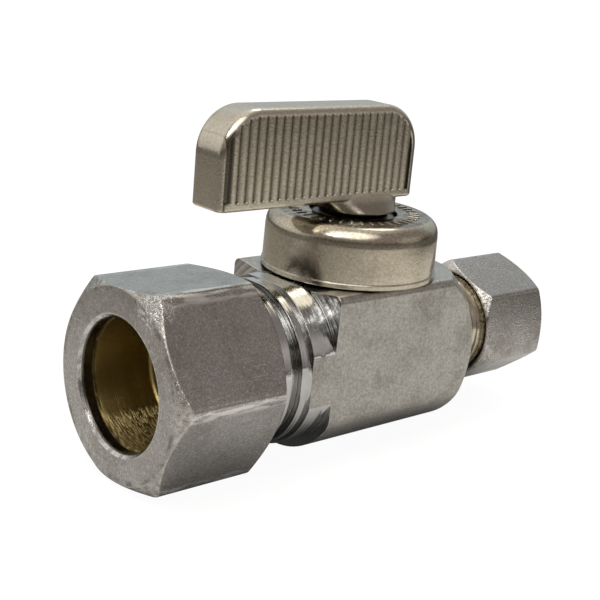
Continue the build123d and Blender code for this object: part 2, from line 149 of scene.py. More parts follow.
def face_normal(tree):
    whole = put(tree, "ShaderNodeNewGeometry").outputs["True Normal"]
    return put(tree, "ShaderNodeSeparateXYZ", {"Vector": whole}).outputs


def noise(tree, place, size, detail=4.0, rough=0.55):
    """Noise whose patches are about size across, in metres."""
    inputs = {"Vector": place, "Scale": 1 / size, "Detail": detail, "Roughness": rough}
    return put(tree, "ShaderNodeTexNoise", inputs).outputs["Fac"]


def shader_group(name, inputs, outputs):
    tree = bpy.data.node_groups.new(name, "ShaderNodeTree")
    for label, value in inputs.items():
        socket = tree.interface.new_socket(label, in_out="INPUT", socket_type="NodeSocketFloat")
        socket.default_value = value
    for label, kind in outputs.items():
        tree.interface.new_socket(label, in_out="OUTPUT", socket_type=kind)
    return tree, put(tree, "NodeGroupInput").outputs, put(tree, "NodeGroupOutput").inputs


def use_group(tree, group, **inputs):
    named = {label.replace("_", " "): value for label, value in inputs.items()}
    return put(tree, "ShaderNodeGroup", named, node_tree=group).outputs


def edge_wear_and_corner_shade_group():
    """Mask and rounded normal of outside edges, rubbed bright in patches, and corners darkened by occlusion:
    grime with painted shade.
    """
    inputs = {"Radius": 0.2 * mm, "Corner Reach": 1.2 * mm, "Corner Start": 0.75}
    outputs = {"Wear": "NodeSocketFloat", "Dirt": "NodeSocketFloat", "Normal": "NodeSocketVector"}
    tree, given, out = shader_group("worn_edges", inputs, outputs)
    soft = put(tree, "ShaderNodeBevel", {"Radius": given["Radius"]}, samples=6).outputs["Normal"]
    plain = put(tree, "ShaderNodeNewGeometry").outputs["Normal"]
    edge = ramp(tree, vector_value(tree, "DOT_PRODUCT", soft, plain), 0.998, 0.95)
    reach = {"Distance": given["Corner Reach"]}
    open_sky = put(tree, "ShaderNodeAmbientOcclusion", reach, samples=6).outputs["AO"]
    patches = noise(tree, object_place(tree), 1.6 * mm)
    rubbed = product(tree, edge, ramp(tree, patches, 0.32, 0.6), ramp(tree, open_sky, 0.35, 0.8))
    tree.links.new(rubbed, out["Wear"])
    tree.links.new(ramp(tree, open_sky, given["Corner Start"], 0.15), out["Dirt"])
    tree.links.new(soft, out["Normal"])
    return tree


def handling_marks_group():
    """Scratches in two directions, short nicks, soft stains, and a fine grain, from use and storage."""
    inputs = {"Grain Size": 0.25 * mm, "Stain Size": 5 * mm}
    outputs = {name: "NodeSocketFloat" for name in ("Scratches", "Nicks", "Stains", "Grain")}
    tree, given, out = shader_group("handling_marks", inputs, outputs)
    lines = []
    for stretch, turn in (((4500, 260, 4500), (0.3, 0.5, 0.9)), ((240, 5000, 5000), (0.9, 0.2, -0.5))):
        streaks = noise(tree, object_place(tree, stretch, turn), 1.0, 1.0)
        gate = noise(tree, object_place(tree, turn=turn), 2.5 * mm, 2.0)
        lines.append(product(tree, ramp(tree, streaks, 0.64, 0.72), ramp(tree, gate, 0.45, 0.6)))
    tree.links.new(calc(tree, "MAXIMUM", *lines), out["Scratches"])
    dents = object_place(tree, (3200, 3200, 1300), (0.2, 0.5, 0.3))
    cells = put(tree, "ShaderNodeTexVoronoi", {"Vector": dents, "Scale": 1.0}).outputs
    lot = put(tree, "ShaderNodeSeparateColor", {"Color": cells["Color"]}).outputs["Red"]
    nicks = product(tree, ramp(tree, cells["Distance"], 0.42, 0.15), ramp(tree, lot, 0.62, 0.7))
    tree.links.new(nicks, out["Nicks"])
    whole = object_point(tree)
    per_stain = calc(tree, "DIVIDE", 1.0, given["Stain Size"])
    cloud = {"Vector": whole, "Scale": per_stain, "Detail": 7.0, "Roughness": 0.66}
    broad = put(tree, "ShaderNodeTexNoise", cloud).outputs["Fac"]
    tree.links.new(ramp(tree, broad, 0.42, 0.68), out["Stains"])
    per_grain = calc(tree, "DIVIDE", 1.0, given["Grain Size"])
    fine = put(tree, "ShaderNodeTexNoise", {"Vector": whole, "Scale": per_grain, "Detail": 2.0})
    tree.links.new(fine.outputs["Fac"], out["Grain"])
    return tree


def turning_marks_group():
    """Rings left by the lathe round the flow axis, along it and across its end faces."""
    tree, given, out = shader_group("turning_marks", {"Feed": 0.15 * mm}, {"Height": "NodeSocketFloat"})
    axes = object_axes(tree)
    along = calc(tree, "ADD", axes["X"], flow_radius(tree, axes))
    step = calc(tree, "DIVIDE", along, given["Feed"])
    rings = put(tree, "ShaderNodeTexNoise", {"W": step, "Scale": 1.0, "Detail": 3.0}, noise_dimensions="1D")
    tree.links.new(rings.outputs["Fac"], out["Height"])
    return tree


worn_edges = edge_wear_and_corner_shade_group()
handling_marks = handling_marks_group()
turning_marks = turning_marks_group()


def metal(name, colour, stain, worn, rough, grain_size, grain_depth, edge_radius, stain_share=0.55,
          stain_size=5 * mm, rough_spread=0.14, grain_tone=0.0, nick_share=0.0, scratch_share=0.35,
          scratch_depth=0.004 * mm, wear_share=0.85, dirt_share=0.6, dirt_tone=0.3,
          ring_feed=0.0, ring_depth=0.0, patches=()):
    """A metal skin with stains, grain, scratches, rubbed edges, corners darkened by grime and painted shade,
    and lathe rings.

    Each patch gives the mask of a place that is worn, soiled or painted with shade or highlights, its colour
    and its height."""
    material = bpy.data.materials.new(name)
    material.use_nodes = True
    tree = material.node_tree
    shader = tree.nodes["Principled BSDF"]
    shader.inputs["Metallic"].default_value = 1.0
    marks = use_group(tree, handling_marks, Grain_Size=grain_size, Stain_Size=stain_size)
    edges = use_group(tree, worn_edges, Radius=edge_radius)
    dirt_and_shade_colour = tuple(channel * dirt_tone for channel in stain[:3]) + (1,)
    skin = blend_colour(tree, product(tree, marks["Stains"], stain_share), colour, stain)
    tone = product(tree, calc(tree, "SUBTRACT", marks["Grain"], 0.5), grain_tone)
    shade = {0: skin, "Scale": calc(tree, "ADD", tone, 1.0)}
    skin = put(tree, "ShaderNodeVectorMath", shade, operation="SCALE").outputs["Vector"]
    skin = blend_colour(tree, product(tree, marks["Nicks"], nick_share), skin, worn)
    # Corners darkened from occlusion: grime with painted shade.
    skin = blend_colour(tree, product(tree, edges["Dirt"], dirt_share), skin, dirt_and_shade_colour)
    skin = blend_colour(tree, product(tree, marks["Scratches"], scratch_share), skin, worn)
    skin = blend_colour(tree, product(tree, edges["Wear"], wear_share), skin, worn)
    height = product(tree, marks["Grain"], grain_depth)
    height = calc(tree, "SUBTRACT", height, product(tree, marks["Scratches"], scratch_depth))
    for mask, patch_colour, patch_height in patches:
        share = mask(tree)
        skin = blend_colour(tree, share, skin, patch_colour)
        height = calc(tree, "ADD", height, product(tree, share, patch_height))
    if ring_depth:
        rings = use_group(tree, turning_marks, Feed=ring_feed)["Height"]
        height = calc(tree, "ADD", height, product(tree, rings, ring_depth))
    tree.links.new(skin, shader.inputs["Base Color"])
    gloss = calc(tree, "ADD", product(tree, marks["Stains"], rough_spread), rough)
    gloss = calc(tree, "SUBTRACT", gloss, product(tree, edges["Wear"], rough * wear_polish), clamp=True)
    tree.links.new(gloss, shader.inputs["Roughness"])
    relief = {"Strength": 1.0, "Distance": 1.0, "Height": height, "Normal": edges["Normal"]}
    tree.links.new(put(tree, "ShaderNodeBump", relief).outputs["Normal"], shader.inputs["Normal"])
    return material


def step_painted_shade(tree):
    """Painted shade on the upper front part of the step, under the cap, broken in patches."""
    axes = object_axes(tree)
    upper = ramp(tree, axes["Z"], 1.0 * mm, 4.0 * mm)
    corner = product(tree, upper, ramp(tree, axes["Y"], -5.5 * mm, -8.5 * mm))
    broken = ramp(tree, noise(tree, object_place(tree), 1.1 * mm), 0.3, 0.55)
    return product(tree, corner, broken, 0.85)


forged_chrome = metal(
    "forged_chrome", forged_colour, chrome_stain_colour, chrome_worn_colour, rough=0.3,
    grain_size=0.3 * mm, grain_depth=0.022 * mm, edge_radius=0.25 * mm,
    stain_share=0.4, grain_tone=1.1, nick_share=0.35,
)
turned_chrome = metal(
    "turned_chrome", bright_chrome_colour, chrome_stain_colour, chrome_worn_colour, rough=0.06,
    grain_size=0.8 * mm, grain_depth=0.006 * mm, edge_radius=0.15 * mm,
    stain_share=0.25, rough_spread=0.1, ring_feed=0.6 * mm, ring_depth=0.05 * mm,
)
faced_chrome = metal(
    "faced_chrome", chrome_colour, chrome_stain_colour, chrome_worn_colour, rough=0.12,
    grain_size=0.5 * mm, grain_depth=0.01 * mm, edge_radius=0.15 * mm,
    stain_share=0.3, rough_spread=0.1, ring_feed=0.55 * mm, ring_depth=0.11 * mm,
    # Painted shade on the step under the cap.
    patches=((step_painted_shade, step_shade_colour, 0.0),),
)
bare_brass = metal(
    "bare_brass", brass_colour, brass_dark_colour, brass_worn_colour, rough=0.34,
    grain_size=0.25 * mm, grain_depth=0.004 * mm, edge_radius=0.12 * mm,
    stain_share=0.5, wear_share=0.2, dirt_share=0.3, ring_feed=0.12 * mm, ring_depth=0.06 * mm,
)
thread_nickel = metal(
    "thread_nickel", thread_colour, thread_stain_colour, thread_worn_colour, rough=0.16,
    grain_size=0.4 * mm, grain_depth=0.008 * mm, edge_radius=0.12 * mm,
    dirt_share=0.2, ring_feed=0.2 * mm, ring_depth=0.004 * mm,
)


def merged_copy(node, name):
    """A node's mesh as one connected skin, without the loose triangles' own normals."""
    mesh = nodes[node].data.copy()
    mesh.name = name
    if "custom_normal" in mesh.attributes:
        mesh.attributes.remove(mesh.attributes["custom_normal"])
    skin = bmesh.new()
    skin.from_mesh(mesh)
    bmesh.ops.remove_doubles(skin, verts=skin.verts, dist=0.0005 * mm)
    skin.to_mesh(mesh)
    skin.free()
    return mesh


def smooth_by_angle(mesh, degrees):
    mesh.polygons.foreach_set("use_smooth", [True] * len(mesh.polygons))
    mesh.set_sharp_from_angle(angle=math.radians(degrees))


def piece(name, mesh, body):
    made = bpy.data.objects.new(name, mesh)
    bpy.context.scene.collection.objects.link(made)
    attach(made, body)
    return made


body_mesh = merged_copy("body", "forged_body")
for vertex in body_mesh.vertices:
    x, y, z = vertex.co
    radius = math.hypot(y, z)
    if abs(radius - inlet_thread_r) < match_gap and x < inlet_thread_end + match_gap:
        vertex.co.yz = Vector((y, z)) * inlet_root_r / radius
    if abs(radius - outlet_thread_r) < match_gap and x > outlet_thread_start - match_gap:
        vertex.co.yz = Vector((y, z)) * outlet_root_r / radius
    if neck_end - flare_length < x < neck_end and neck_r < radius < flare_r:
        if abs(y) > flat_y - match_gap / 2:
            vertex.co.z = math.copysign(math.sqrt(neck_r * neck_r - y * y), z)
        else:
            vertex.co.yz = Vector((y, z)) * neck_r / radius
body_mesh.update()
body_finishes = (forged_chrome, turned_chrome, bare_brass, thread_nickel, faced_chrome)
body_mesh.materials.clear()
for finish in body_finishes:
    body_mesh.materials.append(finish)
for face in body_mesh.polygons:
    x, y, z = face.center
    radius = math.hypot(y, z)
    bored = face.normal.y * y / radius + face.normal.z * z / radius < -0.2
    in_waterway = (bored or abs(face.normal.x) > 0.9) and radius < waterway_r and x < waterway_end
    in_inlet_mouth = bored and radius < inlet_mouth_r and x < inlet_mouth_depth
    on_flat = abs(face.normal.y) > 0.999 and abs(abs(y) - flat_y) < match_gap and x > neck_start
    if in_waterway or in_inlet_mouth or (bored and x > outlet_bore_start):
        finish = bare_brass
    elif x > outlet_thread_start - outlet_neck_length and radius < outlet_neck_r:
        finish = thread_nickel
    elif on_flat or x >= neck_end:
        finish = forged_chrome
    elif face.normal.x > -0.99:
        finish = turned_chrome
    else:
        finish = faced_chrome
    face.material_index = body_finishes.index(finish)
smooth_by_angle(body_mesh, 25)
forged_body = piece("forged_body", body_mesh, "valve_body")
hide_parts("body")
forged_body.modifiers.new("flat_faces", "WEIGHTED_NORMAL").keep_sharp = True


# The threads are rolled on both ends of the body: a ridge wound on the core, right-handed.
# The inlet's is chrome like the body, the outlet's kept the warmer nickel under the chrome.
inlet_pitch = 1.411 * mm
inlet_turns = 6.1
inlet_lead_in = 0.75 * mm
outlet_pitch = 1.058 * mm
outlet_turns = 6.65
outlet_lead_in = 0.6 * mm
steps_per_turn = 96
foot_in_pitches = 1.7
crest_in_pitches = 0.16
run_outs_per_turn = 3.0


def thread_tree():
    """A ridge of trapezoid section wound round the flow axis, running out at both ends."""
    tree = bpy.data.node_groups.new("thread_ridge", "GeometryNodeTree")
    for label in ("Pitch", "Turns", "Core Radius", "Height", "Start"):
        tree.interface.new_socket(label, in_out="INPUT", socket_type="NodeSocketFloat")
    tree.interface.new_socket("Skin", in_out="INPUT", socket_type="NodeSocketMaterial")
    tree.interface.new_socket("Mesh", in_out="OUTPUT", socket_type="NodeSocketGeometry")
    given = put(tree, "NodeGroupInput").outputs
    path = put(tree, "GeometryNodeCurveSpiral", {
        "Resolution": steps_per_turn, "Rotations": given["Turns"],
        "Start Radius": given["Core Radius"], "End Radius": given["Core Radius"],
        "Height": product(tree, given["Pitch"], given["Turns"]),
    }).outputs["Curve"]
    path = put(tree, "GeometryNodeSetCurveNormal", {"Curve": path}, mode="Z_UP").outputs["Curve"]
    share = put(tree, "GeometryNodeSplineParameter").outputs["Factor"]
    end = calc(tree, "MINIMUM", share, calc(tree, "SUBTRACT", 1.0, share))
    run_out = calc(tree, "MULTIPLY", product(tree, end, given["Turns"]), run_outs_per_turn, clamp=True)
    profile = put(tree, "GeometryNodeCurvePrimitiveQuadrilateral", {
        "Height": product(tree, given["Height"], 2.0),
        "Bottom Width": product(tree, given["Pitch"], foot_in_pitches),
        "Top Width": product(tree, given["Pitch"], crest_in_pitches),
        "Offset": 0.0,
    }, mode="TRAPEZOID").outputs["Curve"]
    upright = {"Geometry": profile, "Rotation": (0, 0, -math.pi / 2)}
    profile = put(tree, "GeometryNodeTransform", upright).outputs["Geometry"]
    sweep = {"Curve": path, "Profile Curve": profile, "Scale": run_out, "Fill Caps": True}
    ridge = put(tree, "GeometryNodeCurveToMesh", sweep).outputs["Mesh"]
    start = put(tree, "ShaderNodeCombineXYZ", {"X": given["Start"]}).outputs["Vector"]
    along_flow = {"Geometry": ridge, "Translation": start, "Rotation": (0, math.pi / 2, 0)}
    laid = put(tree, "GeometryNodeTransform", along_flow).outputs["Geometry"]
    real = put(tree, "GeometryNodeRealizeInstances", {"Geometry": laid}).outputs["Geometry"]
    dressed = put(tree, "GeometryNodeSetMaterial", {"Geometry": real, "Material": given["Skin"]})
    tree.links.new(dressed.outputs["Geometry"], put(tree, "NodeGroupOutput").inputs["Mesh"])
    return tree


def grown_mesh(name, tree, **values):
    """The plain mesh that a geometry tree gives for these values."""
    holder = bpy.data.objects.new(name, bpy.data.meshes.new(name))
    bpy.context.scene.collection.objects.link(holder)
    grower = holder.modifiers.new("grow", "NODES")
    grower.node_group = tree
    for item in tree.interface.items_tree:
        if item.in_out == "INPUT":
            grower[item.identifier] = values[item.name.replace(" ", "_").lower()]
    ready = holder.evaluated_get(bpy.context.evaluated_depsgraph_get())
    mesh = bpy.data.meshes.new_from_object(ready)
    holder.modifiers.remove(grower)
    bpy.data.objects.remove(holder)
    mesh.name = name
    return mesh


thread_ridge = thread_tree()
inlet_thread_mesh = grown_mesh(
    "inlet_thread", thread_ridge, pitch=inlet_pitch, turns=inlet_turns, core_radius=inlet_root_r,
    height=inlet_thread_r - inlet_root_r, start=inlet_lead_in, skin=turned_chrome,
)
outlet_thread_mesh = grown_mesh(
    "outlet_thread", thread_ridge, pitch=outlet_pitch, turns=outlet_turns, core_radius=outlet_root_r,
    height=outlet_thread_r - outlet_root_r, start=outlet_thread_start + outlet_lead_in, skin=thread_nickel,
)
for thread_mesh in (inlet_thread_mesh, outlet_thread_mesh):
    smooth_by_angle(thread_mesh, 25)
    piece(thread_mesh.name, thread_mesh, "valve_body")


# The ball turns between two white plastic seats, and a brass retainer ring with a rubber
# ring round it, pressed in from the inlet, holds them in the chamber.
ptfe_colours = (0.86, 0.86, 0.83, 1), (0.93, 0.93, 0.91, 1)
rubber_colours = (0.02, 0.02, 0.02, 1), (0.05, 0.048, 0.045, 1)


def clouded(name, colours, cloud_size, rough):
    """A plastic or rubber with faint clouds in its colour."""
    material = bpy.data.materials.new(name)
    material.use_nodes = True
    tree = material.node_tree
    shader = tree.nodes["Principled BSDF"]
    cloud = noise(tree, object_place(tree), cloud_size)
    tree.links.new(blend_colour(tree, cloud, *colours), shader.inputs["Base Color"])
    shader.inputs["Roughness"].default_value = rough
    return material


def dress(node, finish):
    nodes[node].data.materials.clear()
    nodes[node].data.materials.append(finish)


ptfe = clouded("ptfe_white", ptfe_colours, 0.9 * mm, 0.55)
rubber = clouded("rubber_black", rubber_colours, 0.5 * mm, 0.6)
ball_chrome = metal(
    "ball_chrome", bright_chrome_colour, chrome_stain_colour, chrome_worn_colour, rough=0.06,
    grain_size=0.6 * mm, grain_depth=0.002 * mm, edge_radius=0.12 * mm, stain_share=0.1,
)
dress("ball", ball_chrome)
dress("inlet_seat", ptfe)
dress("outlet_seat", ptfe)
dress("seat_retainer", bare_brass)
dress("retainer_o_ring", rubber)


# The stem is turned from brass bar: a square for the handle above, a tongue in the ball's slot
# below, two rubber rings in grooves and a plastic washer over its flange.
dress("stem", bare_brass)
dress("stem_lower_o_ring", rubber)
dress("stem_upper_o_ring", rubber)
dress("stem_thrust_washer", ptfe)


# The cap is a drawn cup pressed over the boss of the body, nickel plated in a warm tone.
# Its rim is rolled over in a wide curve, and a ring of small raised ticks is pressed into its top,
# where grease and dust have settled round them.
stem_x = 27.0 * mm
cap_top = 18.3 * mm
cap_side_r = 11.27 * mm
cap_rim_r = 2.1 * mm
cap_rim_inner_r = 9.7 * mm
cap_rim_steps = 15
tick_count = 40
tick_ring_r = 8.0 * mm
tick_length = 1.3 * mm
tick_width = 0.3 * mm
tick_rise = 0.12 * mm
nickel_colour = (0.6, 0.55, 0.45, 1)
nickel_stain_colour = (0.36, 0.32, 0.25, 1)
nickel_worn_colour = (0.8, 0.76, 0.67, 1)
grease_colour = (0.11, 0.095, 0.07, 1)


def cap_grime(tree):
    """Grease and dust on the flat of the cap, under the handle, but not on top of the ticks."""
    height = object_axes(tree)["Z"]
    above_rim = ramp(tree, height, cap_top - 0.25 * mm, cap_top - 0.05 * mm)
    below_ticks = ramp(tree, height, cap_top + tick_rise / 2, cap_top)
    spots = ramp(tree, noise(tree, object_place(tree), 0.9 * mm), 0.85, 0.3)
    return product(tree, above_rim, below_ticks, spots)


cap_nickel = metal(
    "cap_nickel", nickel_colour, nickel_stain_colour, nickel_worn_colour, rough=0.15,
    grain_size=0.3 * mm, grain_depth=0.006 * mm, edge_radius=0.2 * mm,
    stain_share=0.4, stain_size=4 * mm, rough_spread=0.08, grain_tone=0.9,
    scratch_share=0.08, scratch_depth=0.0, patches=((cap_grime, grease_colour, 0.0),),
)
cap_mesh = merged_copy("cap", "drawn_cap")
skin = bmesh.new()
skin.from_mesh(cap_mesh)
for step in range(1, cap_rim_steps):
    level = cap_top - cap_rim_r * (1 - math.sin(math.pi / 2 * step / cap_rim_steps))
    parts = list(skin.verts) + list(skin.edges) + list(skin.faces)
    bmesh.ops.bisect_plane(skin, geom=parts, dist=0.0001 * mm, plane_co=(0, 0, level), plane_no=(0, 0, 1))
for vertex in skin.verts:
    flat = Vector((vertex.co.x - stem_x, vertex.co.y))
    up = vertex.co.z - (cap_top - cap_rim_r)
    if up > 0 and flat.length > cap_rim_inner_r:
        inset = cap_rim_r - math.sqrt(max(0.0, cap_rim_r * cap_rim_r - up * up))
        reach = cap_side_r - inset
        vertex.co.x = stem_x + flat.x * reach / flat.length
        vertex.co.y = flat.y * reach / flat.length
skin.to_mesh(cap_mesh)
skin.free()
cap_mesh.materials.clear()
cap_mesh.materials.append(cap_nickel)
smooth_by_angle(cap_mesh, 30)
drawn_cap = piece("drawn_cap", cap_mesh, "valve_body")
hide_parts("cap")
drawn_cap.modifiers.new("flat_faces", "WEIGHTED_NORMAL").keep_sharp = True


def tick_tree():
    """Small raised bars set round a ring, each pointing at its middle."""
    tree = bpy.data.node_groups.new("tick_ring", "GeometryNodeTree")
    for label in ("Ring Radius", "Length", "Width", "Rise"):
        tree.interface.new_socket(label, in_out="INPUT", socket_type="NodeSocketFloat")
    tree.interface.new_socket("Count", in_out="INPUT", socket_type="NodeSocketInt")
    tree.interface.new_socket("Skin", in_out="INPUT", socket_type="NodeSocketMaterial")
    tree.interface.new_socket("Mesh", in_out="OUTPUT", socket_type="NodeSocketGeometry")
    given = put(tree, "NodeGroupInput").outputs
    circle = {"Vertices": given["Count"], "Radius": given["Ring Radius"]}
    ring = put(tree, "GeometryNodeMeshCircle", circle).outputs["Mesh"]
    size = {"X": given["Length"], "Y": given["Width"], "Z": given["Rise"]}
    size = put(tree, "ShaderNodeCombineXYZ", size).outputs["Vector"]
    bar = put(tree, "GeometryNodeMeshCube", {"Size": size}).outputs["Mesh"]
    outward = {"Vector": put(tree, "GeometryNodeInputPosition").outputs["Position"]}
    turn = put(tree, "FunctionNodeAlignRotationToVector", outward, axis="X", pivot_axis="Z")
    setting = {"Points": ring, "Instance": bar, "Rotation": turn.outputs["Rotation"]}
    bars = put(tree, "GeometryNodeInstanceOnPoints", setting).outputs["Instances"]
    real = put(tree, "GeometryNodeRealizeInstances", {"Geometry": bars}).outputs["Geometry"]
    dressed = put(tree, "GeometryNodeSetMaterial", {"Geometry": real, "Material": given["Skin"]})
    tree.links.new(dressed.outputs["Geometry"], put(tree, "NodeGroupOutput").inputs["Mesh"])
    return tree


tick_mesh = grown_mesh(
    "cap_ticks", tick_tree(), ring_radius=tick_ring_r, length=tick_length, width=tick_width,
    rise=2 * tick_rise, count=tick_count, skin=cap_nickel,
)
tick_mesh.transform(Matrix.Translation((stem_x, 0, cap_top)))
piece("cap_ticks", tick_mesh, "valve_body")


# The handle is one zinc casting, hub and lever together, with ribs on both faces for grip.
# It is nickel plated like the cap and sits on the stem's square. Painted shade darkens the hub
# below the lever, the gap above the cap and the grooves between the ribs.
hub_foot = 18.8 * mm
lever_bottom = 21.0 * mm
panel_left = 3.0 * mm
panel_right = 33.75 * mm
panel_first_rib = 4.4 * mm
rib_crest_y = 2.9 * mm
rib_root_y = 2.58 * mm
handle_colour = (0.68, 0.63, 0.53, 1)
handle_shade_colour = (0.06, 0.052, 0.038, 1)


def hub_painted_shade(tree):
    """Painted shade on the hub below the lever, in the gap above the cap and between the ribs."""
    axes = object_axes(tree)
    along, height = axes["X"], axes["Z"]
    depth = calc(tree, "ABSOLUTE", axes["Y"])
    on_lever = ramp(tree, height, lever_bottom, lever_bottom + 0.4 * mm)
    between = product(tree, ramp(tree, depth, rib_crest_y, rib_root_y), on_lever)
    before_rib = ramp(tree, along, panel_first_rib, panel_first_rib - 0.5 * mm)
    end_groove = product(tree, before_rib, ramp(tree, depth, rib_crest_y + 0.07 * mm, rib_crest_y))
    past_left = ramp(tree, along, panel_left, panel_left + 0.1 * mm)
    in_panel = product(tree, past_left, ramp(tree, along, panel_right, panel_right - 0.15 * mm))
    on_face = ramp(tree, calc(tree, "ABSOLUTE", face_normal(tree)["Z"]), 0.5, 0.3)
    grooves = product(tree, calc(tree, "MAXIMUM", between, end_groove), in_panel, on_face, 0.85)
    under_lever_shade = product(tree, ramp(tree, height, hub_foot + 1.9 * mm, hub_foot + 1.0 * mm), 0.45)
    gap = ramp(tree, height, hub_foot + 0.08 * mm, hub_foot)
    return calc(tree, "MAXIMUM", calc(tree, "MAXIMUM", under_lever_shade, gap), grooves)


handle_nickel = metal(
    "handle_nickel", handle_colour, nickel_stain_colour, nickel_worn_colour, rough=0.18,
    grain_size=0.28 * mm, grain_depth=0.012 * mm, edge_radius=0.3 * mm,
    stain_share=0.25, stain_size=4 * mm, grain_tone=0.6, scratch_share=0.1, scratch_depth=0.0,
    # Painted shade on the hub, in the gap above the cap and between the ribs.
    dirt_share=0.8, dirt_tone=0.15, patches=((hub_painted_shade, handle_shade_colour, 0.0),),
)
dress("handle", handle_nickel)


# Each tube is gripped by a brass sleeve, turned with a cone at both ends,
# that the nut squeezes into the mouth of the body.
sleeve_colour = (0.5, 0.39, 0.16, 1)
brass_glint_colour = (1.0, 0.85, 0.46, 1)


def painted_bottom_glints(tree):
    """Painted golden glints round the bottom of the bore, in streaks."""
    low = ramp(tree, object_axes(tree)["Z"], -5.6 * mm, -6.6 * mm)
    streaks = ramp(tree, noise(tree, object_place(tree, (5000, 900, 900)), 1.0, 3.0), 0.45, 0.62)
    return product(tree, low, streaks)


sleeve_brass = metal(
    "sleeve_brass", sleeve_colour, brass_dark_colour, brass_worn_colour, rough=0.32,
    grain_size=0.25 * mm, grain_depth=0.004 * mm, edge_radius=0.12 * mm,
    stain_share=0.5, wear_share=0.2, dirt_share=0.3, ring_feed=0.12 * mm, ring_depth=0.04 * mm,
    # Painted glints low in the bore.
    patches=((painted_bottom_glints, brass_glint_colour, 0.05 * mm),),
)
dress("inlet_ferrule", sleeve_brass)
dress("outlet_ferrule", sleeve_brass)


# The nuts are cut from drawn hexagon bar and chamfered on the lathe at both ends.
# They are chrome plated, rubbed bright at the corners and stained on their faces,
# and a spanner has slipped on one corner of the large one.
slipped_corner = (-8.2 * mm, -5.8 * mm, 11.2 * mm)
corner_rub_r = 12.95 * mm
mouth_r = 8.15 * mm
mouth_edge_r = 8.65 * mm
chamfer_r = 11.5 * mm
inlet_nut_limit = 20 * mm
nut_colour = (0.5, 0.49, 0.475, 1)
nut_stain_colour = (0.27, 0.25, 0.225, 1)
nut_worn_colour = (0.8, 0.79, 0.77, 1)
slip_colour = (1.0, 0.99, 0.96, 1)
corner_rub_colour = (1.0, 0.99, 0.97, 1)
mouth_shade_colour = (0.07, 0.06, 0.045, 1)
mouth_edge_wear_and_highlight_colour = (0.95, 0.95, 0.93, 1)
chamfer_dirt_colour = (0.14, 0.13, 0.11, 1)
chamfer_wear_and_sheen_colour = (0.82, 0.8, 0.76, 1)


def spanner_slip(tree):
    """Bright specks round the one corner where a spanner has slipped."""
    place = object_point(tree)
    near_corner = ramp(tree, vector_value(tree, "DISTANCE", place, slipped_corner), 3.0 * mm, 0.8 * mm)
    return product(tree, near_corner, ramp(tree, noise(tree, place, 0.42 * mm), 0.48, 0.58))


def rubbed_corners(tree):
    """Bright streaks along the hexagon's corners, from spanners; one face escaped them."""
    axes = object_axes(tree)
    on_corner = ramp(tree, flow_radius(tree, axes), corner_rub_r, corner_rub_r + 0.35 * mm)
    streaks = ramp(tree, noise(tree, object_place(tree, (350, 1800, 1800)), 1.0, 4.0), 0.4, 0.6)
    above = ramp(tree, axes["Z"], 0.8 * mm, 1.0 * mm)
    spared = product(tree, above, ramp(tree, axes["Z"], 5.0 * mm, 4.0 * mm))
    return product(tree, on_corner, streaks, calc(tree, "SUBTRACT", 1.0, spared), 0.9)


def mouth_radius(tree):
    """Distance from the flow axis, made large beyond the inlet nut."""
    axes = object_axes(tree)
    beyond = calc(tree, "GREATER_THAN", axes["X"], inlet_nut_limit)
    return calc(tree, "ADD", flow_radius(tree, axes), beyond)


def mouth_wall_shade(tree):
    """Painted shade on the wall of the mouth that the tube passes through."""
    return product(tree, ramp(tree, mouth_radius(tree), mouth_r + 0.06 * mm, mouth_r + 0.02 * mm), 0.75)


def mouth_edge_wear_and_highlight(tree):
    """The edge of the mouth, rubbed bright by tubes and painted as a highlight."""
    radius = mouth_radius(tree)
    past_wall = ramp(tree, radius, mouth_r + 0.03 * mm, mouth_r + 0.1 * mm)
    within = ramp(tree, radius, mouth_edge_r, mouth_edge_r - 0.1 * mm)
    broken = ramp(tree, noise(tree, object_place(tree), 1.2 * mm), 0.4, 0.62)
    return product(tree, past_wall, within, broken, 0.8)


def end_face(tree):
    """The nuts' end faces towards the inlet, with their chamfers."""
    return ramp(tree, face_normal(tree)["X"], -0.35, -0.45)


def chamfer_dirt(tree):
    """A line of grime where the chamfer leaves the end face."""
    off_line = calc(tree, "ABSOLUTE", calc(tree, "SUBTRACT", mouth_radius(tree), chamfer_r))
    line = ramp(tree, off_line, 0.5 * mm, 0.1 * mm)
    broken = ramp(tree, noise(tree, object_place(tree), 2.2 * mm, 6.0, 0.65), 0.46, 0.62)
    return product(tree, line, end_face(tree), broken, 0.65)


def chamfer_wear_and_sheen(tree):
    """The chamfer itself, knocked and rubbed bright outside that line, with a painted sheen."""
    outside = ramp(tree, mouth_radius(tree), chamfer_r + 0.15 * mm, chamfer_r + 0.5 * mm)
    broken = ramp(tree, noise(tree, object_place(tree), 0.9 * mm, 5.0, 0.65), 0.35, 0.6)
    return product(tree, outside, end_face(tree), broken, 0.7)


nut_chrome = metal(
    "nut_chrome", nut_colour, nut_stain_colour, nut_worn_colour, rough=0.19,
    grain_size=0.22 * mm, grain_depth=0.016 * mm, edge_radius=0.35 * mm,
    stain_share=0.5, stain_size=5.0 * mm, grain_tone=1.2, nick_share=0.6, scratch_share=0.5, wear_share=0.3,
    patches=(
        (spanner_slip, slip_colour, 0.25 * mm),
        # Painted shade on the mouth's wall.
        (mouth_wall_shade, mouth_shade_colour, 0.0),
        # Painted highlight, with wear, on the mouth's edge.
        (mouth_edge_wear_and_highlight, mouth_edge_wear_and_highlight_colour, 0.0),
        (rubbed_corners, corner_rub_colour, 0.0),
        (chamfer_dirt, chamfer_dirt_colour, 0.0),
        # Painted sheen, with wear, on the chamfers.
        (chamfer_wear_and_sheen, chamfer_wear_and_sheen_colour, 0.06 * mm),
    ),
)
dress("inlet_nut", nut_chrome)
dress("outlet_nut", nut_chrome)
